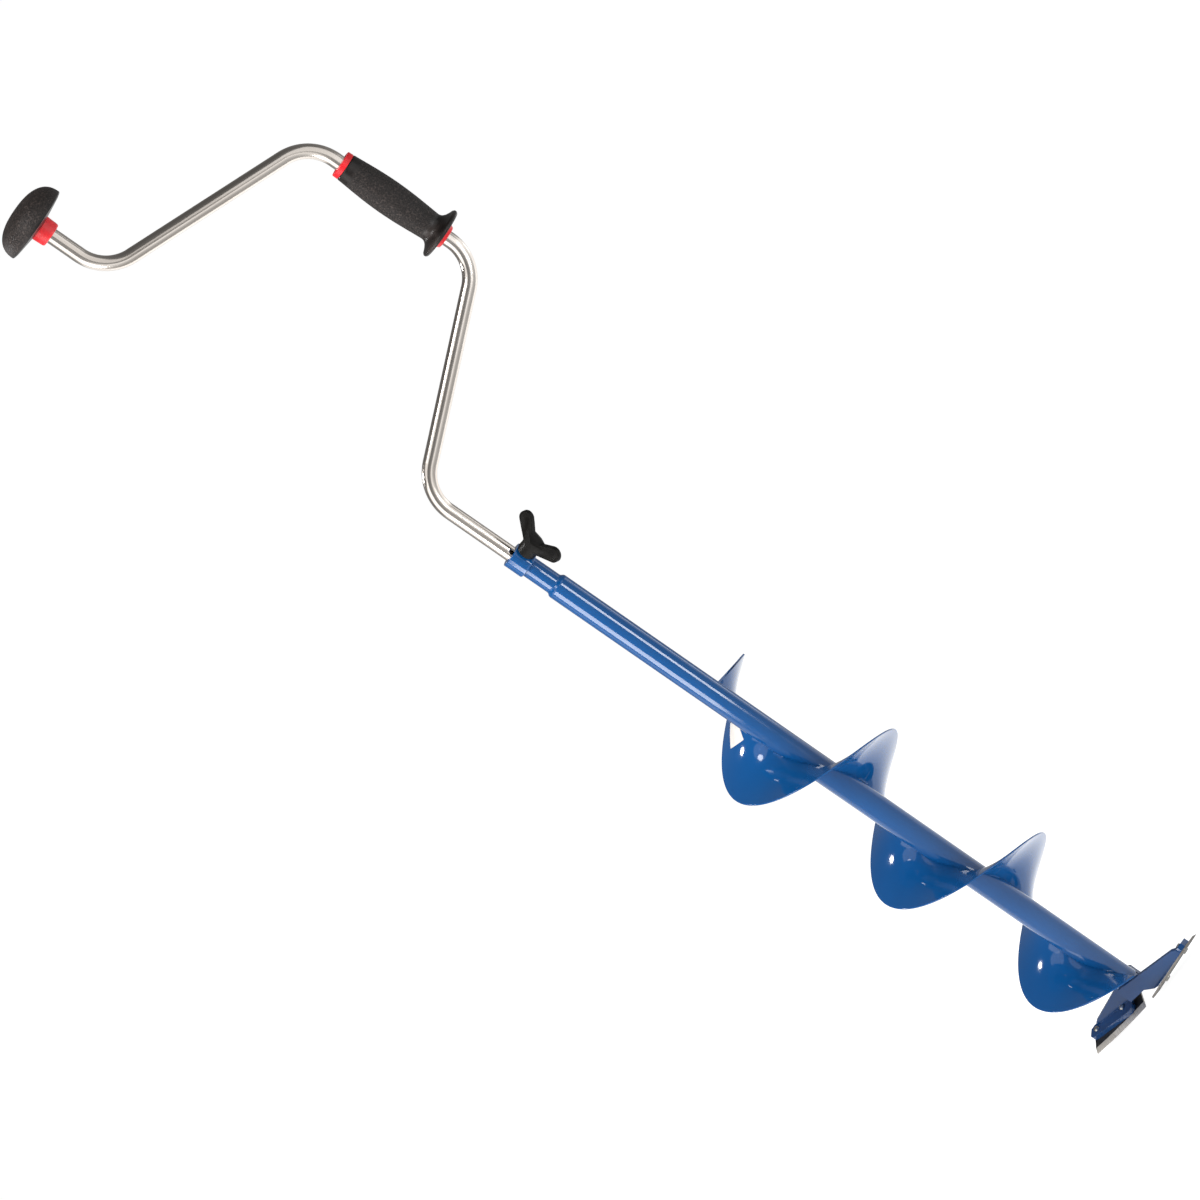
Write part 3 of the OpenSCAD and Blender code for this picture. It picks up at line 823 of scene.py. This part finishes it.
# ---------------------------------------------------------------- palm knob
def palm_knob():
    low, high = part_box("palm_pad")
    bush_low, bush_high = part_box("knob_bush")
    wide, core = high.x, 12 * MM
    rim_z = low.z + 3.5 * MM
    height = high.z - rim_z - 0.8 * MM
    power = 2.5
    dome = [(wide * math.cos(a) ** (2 / power), rim_z + 0.8 * MM + height * math.sin(a) ** (2 / power))
            for a in np.radians(np.linspace(0, 90, 64))[1:-1]]
    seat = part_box("thrust_washer")[1].z + 0.1 * MM
    outline = [
        (core, low.z, 0.3 * MM), (core + 4 * MM, low.z + 0.3 * MM, 1.5 * MM),
        (wide - 4 * MM, rim_z - 0.9 * MM, 1 * MM), (wide - 0.6 * MM, rim_z, 0.7 * MM),
        (wide, rim_z + 0.9 * MM, 0.4 * MM),
        *dome, (0, high.z)]
    outline = [(0, seat), (core, seat, 0.2 * MM)] + outline
    pad = lathe("palm_pad", outline, LOOKS["black_rubber"], segments=160, closed=False)
    add_grain(pad, lambda r, z: ramp(z, rim_z + 1.2 * MM, rim_z + 3 * MM))
    place_on(pad, "palm_knob", "black_rubber", "palm_pad")
    shaft = CRANK_R + 0.07 * MM
    outline = [
        (shaft, bush_low.z, 0.5 * MM), (11.3 * MM, bush_low.z, 0.8 * MM), (12.0 * MM, bush_low.z + 2 * MM, 0),
        (12.5 * MM, rim_z - 3.7 * MM, 0.1 * MM), (core, rim_z - 3.6 * MM, 0), (core, bush_high.z, 0.3 * MM),
        (shaft, bush_high.z, 0.3 * MM)]
    bush = lathe("knob_bush_ring", outline, LOOKS["red_plastic"])
    place_on(bush, "palm_knob", "red_plastic", "knob_bush")
    w_low, w_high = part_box("thrust_washer")
    washer = lathe("washer", [
        (0, w_low.z), (w_high.x, w_low.z, 0.2 * MM), (w_high.x, w_high.z, 0.2 * MM), (0, w_high.z)],
        LOOKS["zinc_hardware"], closed=False)
    place_on(washer, "palm_knob", "zinc_hardware", "thrust_washer")


# ---------------------------------------------------------------- clamp screw
clamp = JOINTS["clamp_screw_turn"]
CLAMP_AXIS = Vector(clamp["axis"]).normalized()
CLAMP_TURN = CLAMP_AXIS.to_track_quat("Z", "Y").to_matrix().to_4x4()
CLAMP_PLACE = Matrix.Translation(Vector(clamp["pos_m"])) @ CLAMP_TURN


def clamp_reach(node):
    along = cad_points(node) @ np.array(CLAMP_AXIS)
    return float(along.min()), float(along.max())


def wing_knob():
    node = frame["nodes"]["wing_knob"]
    bm = bmesh.new()
    bm.from_mesh(node.data)
    bmesh.ops.remove_doubles(bm, verts=bm.verts, dist=1e-6)
    piece = finish_mesh("wings", bm, LOOKS["black_plastic"], False)
    shell = piece.modifiers.new("shell", "REMESH")
    shell.mode, shell.voxel_size, shell.use_smooth_shade = "VOXEL", 0.45 * MM, True
    soften = piece.modifiers.new("soften", "SMOOTH")
    soften.factor, soften.iterations = 0.5, 14
    bpy.context.view_layer.update()
    graph = bpy.context.evaluated_depsgraph_get()
    made = bpy.data.meshes.new_from_object(piece.evaluated_get(graph))
    piece.modifiers.clear()
    piece.data = made
    local = CLAMP_PLACE.inverted()
    pts = np.array([local @ v.co for v in made.vertices])
    cad = np.array([local @ Vector(p) for p in cad_points("wing_knob")])
    far = cad[cad[:, 2] > cad[:, 2].max() - 12 * MM]
    _, _, shape = np.linalg.svd(far[:, :2] - far[:, :2].mean(0))
    span = shape[0]
    flat = np.array([-span[1], span[0]])
    reach, side = pts[:, :2] @ span, pts[:, :2] @ flat
    ear_r, ear_z = 21.0 * MM, float(cad[:, 2].max()) - 7.6 * MM
    dish_r, dish = 5.6 * MM, 0.9 * MM
    for sign in (1, -1):
        lean = (ear_z - pts[:, 2]) * 0.55
        d = np.hypot(reach - sign * (ear_r - np.clip(lean, 0, 9 * MM)), (pts[:, 2] - ear_z + 2 * MM) * 0.75)
        hollow = np.clip(1 - (d / dish_r) ** 2, 0, 1) * dish
        shift = np.where(np.abs(side) > 1.4 * MM, -np.sign(side) * hollow, 0)
        pts[:, :2] += shift[:, None] * flat[None, :]
    for v, p in zip(made.vertices, pts):
        v.co = CLAMP_PLACE @ Vector(p)
    made.materials.clear()
    made.materials.append(LOOKS["black_plastic"])
    made.shade_smooth()
    place_on(piece, "clamp_screw", "black_plastic", "wing_knob")


def clamp_stud():
    start = clamp_reach("clamp_stud")[0]
    r, pitch, depth = 3.97 * MM, 1.25 * MM, 0.6 * MM
    hub_face = clamp_reach("wing_knob")[0]
    z = np.arange(start, hub_face + 3 * MM, pitch / 12)
    phi = np.arange(48) * 2 * math.pi / 48
    saw = np.abs(((z[:, None] / pitch - phi[None, :] / (2 * math.pi)) % 1.0) * 2 - 1)
    fade = np.clip((z[:, None] - start) / (1.2 * MM), 0, 1)
    radius = (r - depth * saw) * (0.82 + 0.18 * fade)
    across = (radius * np.cos(phi)[None, :], radius * np.sin(phi)[None, :])
    pts = np.stack(np.broadcast_arrays(*across, z[:, None]), -1)
    turn = np.array(CLAMP_PLACE)
    pts = pts @ turn[:3, :3].T + turn[:3, 3]
    thread = grid("stud_thread", pts, LOOKS["zinc_hardware"], False, True, cap=True)
    place_on(thread, "clamp_screw", "zinc_hardware")
    head = frame["nodes"]["clamp_stud"]
    head.data.materials.clear()
    head.data.materials.append(LOOKS["zinc_hardware"])
    tip = frame["nodes"]["clamp_tip"]
    tip.data.materials.clear()
    tip.data.materials.append(LOOKS["brass"])


# ---------------------------------------------------------------- studio
def softbox(name, place, aim, size, radiance, lit=True, mirrored=True):
    data = bpy.data.lights.new(name, "AREA")
    data.shape = "RECTANGLE" if size[0] != size[1] else "DISK"
    data.size, data.size_y = size
    area = size[0] * size[1] * (1 if size[0] != size[1] else math.pi / 4)
    data.energy = radiance * area * math.pi
    lamp = bpy.data.objects.new(name, data)
    way = Vector(aim) - Vector(place)
    lamp.matrix_world = Matrix.Translation(place) @ way.to_track_quat("-Z", "Y").to_matrix().to_4x4()
    lamp.visible_camera, lamp.visible_diffuse, lamp.visible_glossy = False, lit, mirrored
    bpy.context.scene.collection.objects.link(lamp)


def around(azimuth, distance, height):
    """A place by its angle from the camera's side, towards +X, its distance from the axis and its height."""
    a = math.radians(azimuth)
    return (distance * math.sin(a), -distance * math.cos(a), height)


def strip(name, side, heights, radiance, lit=True, mirrored=True, distance=1.7):
    """A softbox facing the axis, between two angles from the camera's side and two heights."""
    middle, half = math.radians(sum(side) / 2), math.radians(abs(side[1] - side[0]) / 2)
    height = sum(heights) / 2
    place = around(math.degrees(middle), distance, height)
    size = (2 * distance * math.tan(half), heights[1] - heights[0])
    softbox(name, place, (0, 0, height), size, radiance, lit, mirrored)


STAGE_HALF_WIDTH = 60.0
WALL_RADIUS, WALL_DEPTH = 58.0, 80.0
FLOOR_GLOW, WALL_GLOW = 0.93, 1.0


def stage_piece(name, bm, glow):
    """A pale, evenly glowing part of the stage, which isn't sampled as a lamp."""
    mesh = bpy.data.meshes.new(name)
    bm.to_mesh(mesh)
    bm.free()
    part = bpy.data.objects.new(name, mesh)
    bpy.context.scene.collection.objects.link(part)
    k = Look(name).set(Roughness=0.9, Emission_Color=(1, 1, 1, 1), Emission_Strength=glow)
    k.colour(k.colours(k.noise(3, 2), [(0.3, (0.50, 0.50, 0.50)), (0.7, (0.52, 0.52, 0.52))]))
    k.material.cycles.emission_sampling = "NONE"
    mesh.materials.append(k.material)
    return part


def floor_part(name, near, far, mirrored):
    """Floor between two distances behind the drill axis, as wide as the stage."""
    half = STAGE_HALF_WIDTH
    bm = bmesh.new()
    corners = [(-half, near, 0), (half, near, 0), (half, far, 0), (-half, far, 0)]
    bm.faces.new([bm.verts.new(c) for c in corners])
    stage_piece(name, bm, FLOOR_GLOW).visible_glossy = mirrored


def backdrop():
    """A pale wall and ceiling all round, which neither lights the object nor shows in its gloss."""
    bm = bmesh.new()
    bmesh.ops.create_cone(
        bm, cap_ends=True, segments=96, radius1=WALL_RADIUS, radius2=WALL_RADIUS, depth=WALL_DEPTH)
    wall = stage_piece("backdrop", bm, WALL_GLOW)
    wall.visible_glossy = wall.visible_diffuse = False
    wall.visible_transmission = wall.visible_shadow = False


def studio():
    strip("left", (-80, -44), (0.21, 0.515), 8.0, lit=False)
    strip("left_upper", (-88, -38), (0.515, 2.0), 1.35, lit=False)
    strip("left_fill", (-80, -44), (0.21, 1.9), 4.3, mirrored=False)
    strip("right", (27, 44), (0.21, 0.50), 10.0, lit=False)
    strip("right_upper", (8, 72), (0.50, 2.2), 0.66)
    strip("right_rim", (106, 118), (0.15, 0.46), 1.5, lit=False)
    softbox("spot_behind_left", (-0.59, 0.44, 1.46), (-0.03, 0.02, 0.28), (0.16, 0.16), 40.0)
    softbox("top", (-0.14, -0.40, 2.2), (0, 0, 0.4), (0.6, 0.6), 11.0, mirrored=False)
    softbox("high_fill", (-1.10, -0.99, 2.185), (0, 0, 0.55), (0.7, 0.7), 19.0, mirrored=False)
    softbox("high_left", (-0.81, -1.16, 2.69), (0, 0, 1.0), (1.9, 1.9), 0.85, lit=False)
    softbox("top_glint", (-0.211, -0.457, 1.847), (-0.03, -0.03, 0.42), (0.34, 0.34), 11.0, lit=False)
    floor_part("floor_front", -80.0, 0.0, False)
    floor_part("floor_near", 0.0, 1.8, True)
    floor_part("floor_far", 1.8, 80.0, False)
    backdrop()
    world = bpy.data.worlds.new("studio")
    bpy.context.scene.world = world
    world.use_nodes = True
    nodes, links = world.node_tree.nodes, world.node_tree.links
    where = nodes.new("ShaderNodeTexCoord").outputs["Generated"]
    split = nodes.new("ShaderNodeSeparateXYZ")
    links.new(where, split.inputs[0])
    ramp_node = nodes.new("ShaderNodeValToRGB")
    stops = [
        (0.0, 0.42), (0.15, 0.50), (0.26, 0.75), (0.34, 1.10), (0.39, 1.10), (0.42, 0.30), (0.5, 0.26),
        (0.62, 0.20), (1.0, 0.10)]
    while len(ramp_node.color_ramp.elements) < len(stops):
        ramp_node.color_ramp.elements.new(0.5)
    for element, (at, level) in zip(ramp_node.color_ramp.elements, stops):
        element.position, element.color = at, (level, level, level, 1)
    lift = nodes.new("ShaderNodeMapRange")
    lift.inputs["From Min"].default_value = -1.0
    links.new(split.outputs["Z"], lift.inputs["Value"])
    links.new(lift.outputs["Result"], ramp_node.inputs["Fac"])
    links.new(ramp_node.outputs["Color"], nodes["Background"].inputs["Color"])
    bpy.context.scene.view_settings.view_transform = "Standard"


drill_tube()
collar()
flighting()
root_welds()
label()
cutting_head()
blade_screws()
crank()
grip()
palm_knob()
wing_knob()
clamp_stud()
studio()
